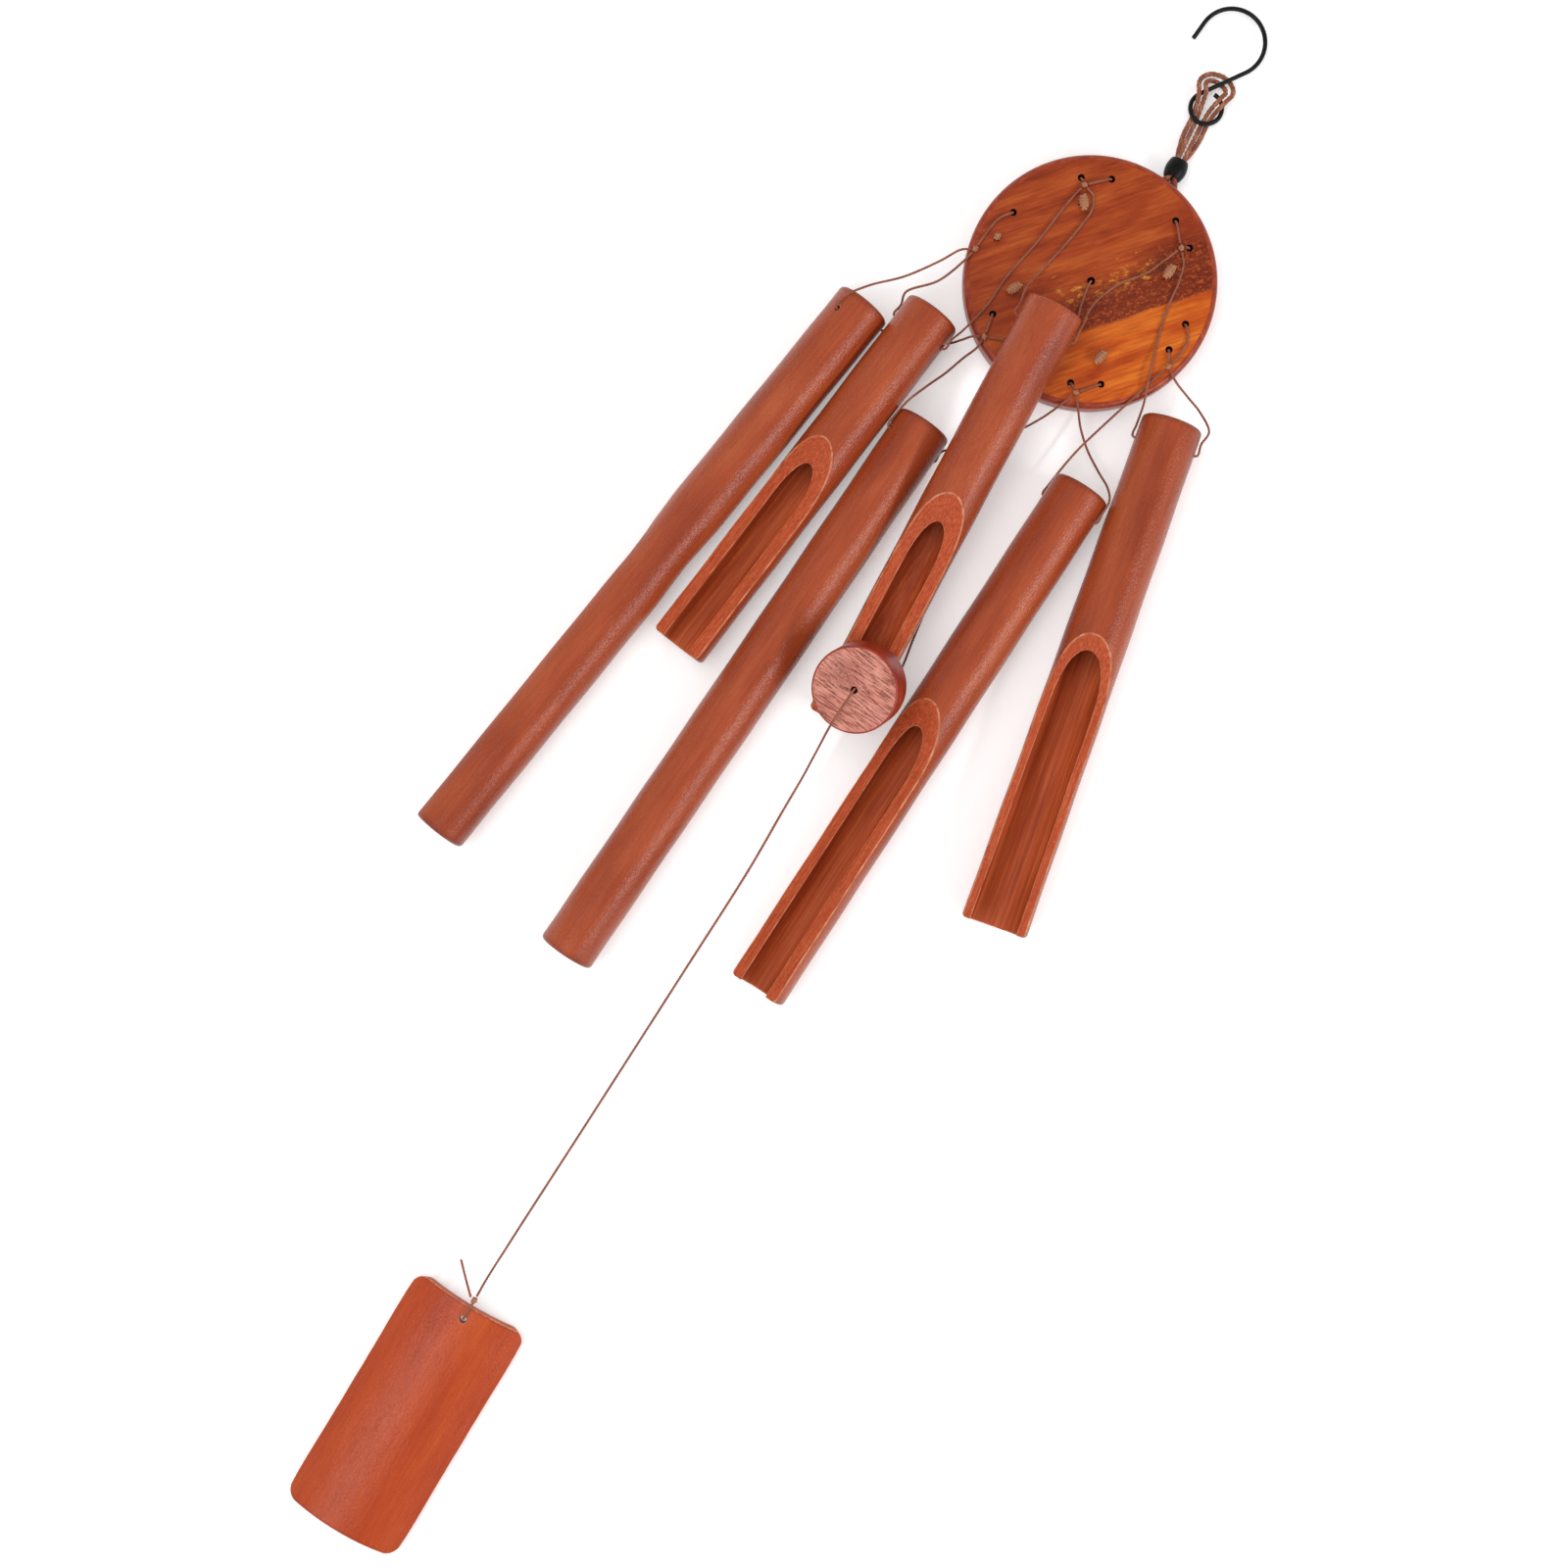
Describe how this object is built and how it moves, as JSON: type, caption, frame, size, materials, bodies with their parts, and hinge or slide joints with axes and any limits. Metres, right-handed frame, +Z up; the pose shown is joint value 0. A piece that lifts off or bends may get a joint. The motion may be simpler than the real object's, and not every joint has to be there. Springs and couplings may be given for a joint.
{
  "type": "bamboo wind chime",
  "caption": "Bamboo wind chime laid flat: scooped bamboo tubes tied to a round wooden top, a round striker and a curved wind sail on a cord, and a wire hook.",
  "frame": {"origin": "on the table, under the middle of the box round the rigid pieces of the laid-out chime", "axes": "+Y from the wind sail to the hook, +Z up off the table, +X to the right seen from above"},
  "size_m": [0.2408, 0.7366, 0.0457],
  "materials": {
    "bamboo": "red-brown stained bamboo, satin",
    "disc_wood": "red-brown varnished figured wood",
    "striker_wood": "sawn wood with matt faces",
    "wire": "black, semi-gloss",
    "bead": "black, satin",
    "brown_cord": "thin twisted brown cord",
    "tan_cord": "braided tan-brown cord"
  },
  "bodies": {
    "disc": {"top_disc": "disc_wood", "tube_1_cord": "brown_cord", "tube_2_cord": "brown_cord", "tube_3_cord": "brown_cord", "tube_4_cord": "brown_cord", "tube_5_cord": "brown_cord", "tube_6_cord": "brown_cord", "pair_loop_a": "brown_cord", "pair_loop_b": "brown_cord", "pair_loop_c": "brown_cord", "pair_loop_d": "brown_cord", "pair_loop_e": "brown_cord", "pair_loop_f": "brown_cord", "tie_a": "tan_cord", "tie_b": "tan_cord", "tie_c": "tan_cord", "tie_d": "tan_cord", "tie_e": "tan_cord", "tie_f": "tan_cord", "cord_join_knot": "tan_cord", "hanger_knot_1": "tan_cord", "hanger_knot_2": "tan_cord", "hanger_knot_3": "tan_cord", "hanger_knot_4": "tan_cord", "striker_stop_knot": "tan_cord"},
    "tube_1": {"tube_1": "bamboo"},
    "tube_2": {"tube_2": "bamboo"},
    "tube_3": {"tube_3": "bamboo"},
    "tube_4": {"tube_4": "bamboo"},
    "tube_5": {"tube_5": "bamboo"},
    "tube_6": {"tube_6": "bamboo"},
    "striker": {"striker": "striker_wood", "striker_cord": "brown_cord"},
    "sail": {"sail": "bamboo", "sail_cord": "brown_cord", "sail_loop": "brown_cord", "sail_tail": "brown_cord", "sail_knot": "tan_cord"},
    "hanger": {"bead": "bead", "hanger_cord_1": "tan_cord", "hanger_cord_2": "tan_cord"},
    "hook": {"hook": "wire"}
  },
  "joints": [
    {"name": "tube_1_swing", "type": "hinge", "parent": "disc", "child": "tube_1", "pos_m": [-0.07269, 0.1692, 0.012], "axis": [-0.99, 0.1409, 0], "range_deg": [0, 90], "deforming": ["tube_1_cord"]},
    {"name": "tube_2_swing", "type": "hinge", "parent": "disc", "child": "tube_2", "pos_m": [-0.04606, 0.1805, 0.0139], "axis": [-0.9936, 0.1132, 0], "range_deg": [0, 90], "deforming": ["tube_2_cord"]},
    {"name": "tube_3_swing", "type": "hinge", "parent": "disc", "child": "tube_3", "pos_m": [-0.00246, 0.2041, 0.03272], "axis": [-0.9986, -0.0523, 0], "range_deg": [0, 90], "deforming": ["tube_3_cord"]},
    {"name": "tube_4_swing", "type": "hinge", "parent": "disc", "child": "tube_4", "pos_m": [-0.02499, 0.13952, 0.0121], "axis": [-0.9984, 0.0558, 0], "range_deg": [0, 90], "deforming": ["tube_4_cord"]},
    {"name": "tube_5_swing", "type": "hinge", "parent": "disc", "child": "tube_5", "pos_m": [0.04472, 0.14998, 0.0125], "axis": [-0.9994, 0.0349, 0], "range_deg": [0, 90], "deforming": ["tube_5_cord"]},
    {"name": "tube_6_swing", "type": "hinge", "parent": "disc", "child": "tube_6", "pos_m": [0.06517, 0.19256, 0.01286], "axis": [-0.9803, -0.1977, 0], "range_deg": [0, 90], "deforming": ["tube_6_cord"]},
    {"name": "striker_swing", "type": "hinge", "parent": "disc", "child": "striker", "pos_m": [0.00402, 0.23465, 0.01625], "axis": [-1, 0, 0], "range_deg": [0, 90], "deforming": ["striker_cord"]},
    {"name": "sail_swing", "type": "hinge", "parent": "striker", "child": "sail", "pos_m": [0.00702, 0.03873, 0.03831], "axis": [-1, 0, 0], "range_deg": [0, 60], "deforming": ["sail_cord"]},
    {"name": "hanger_fold", "type": "hinge", "parent": "disc", "child": "hanger", "pos_m": [0.00974, 0.2891, 0.0046], "axis": [0.9945, -0.1045, 0], "range_deg": [0, 60], "deforming": ["hanger_cord_1", "hanger_cord_2"]},
    {"name": "hook_swing", "type": "hinge", "parent": "hanger", "child": "hook", "pos_m": [0.00807, 0.32422, 0.0034], "axis": [0, 0, 1], "range_deg": [-40, 40]}
  ],
  "couplings": [
    {"joint": "tube_3_swing", "follows": "striker_swing", "ratio": 1}
  ]
}
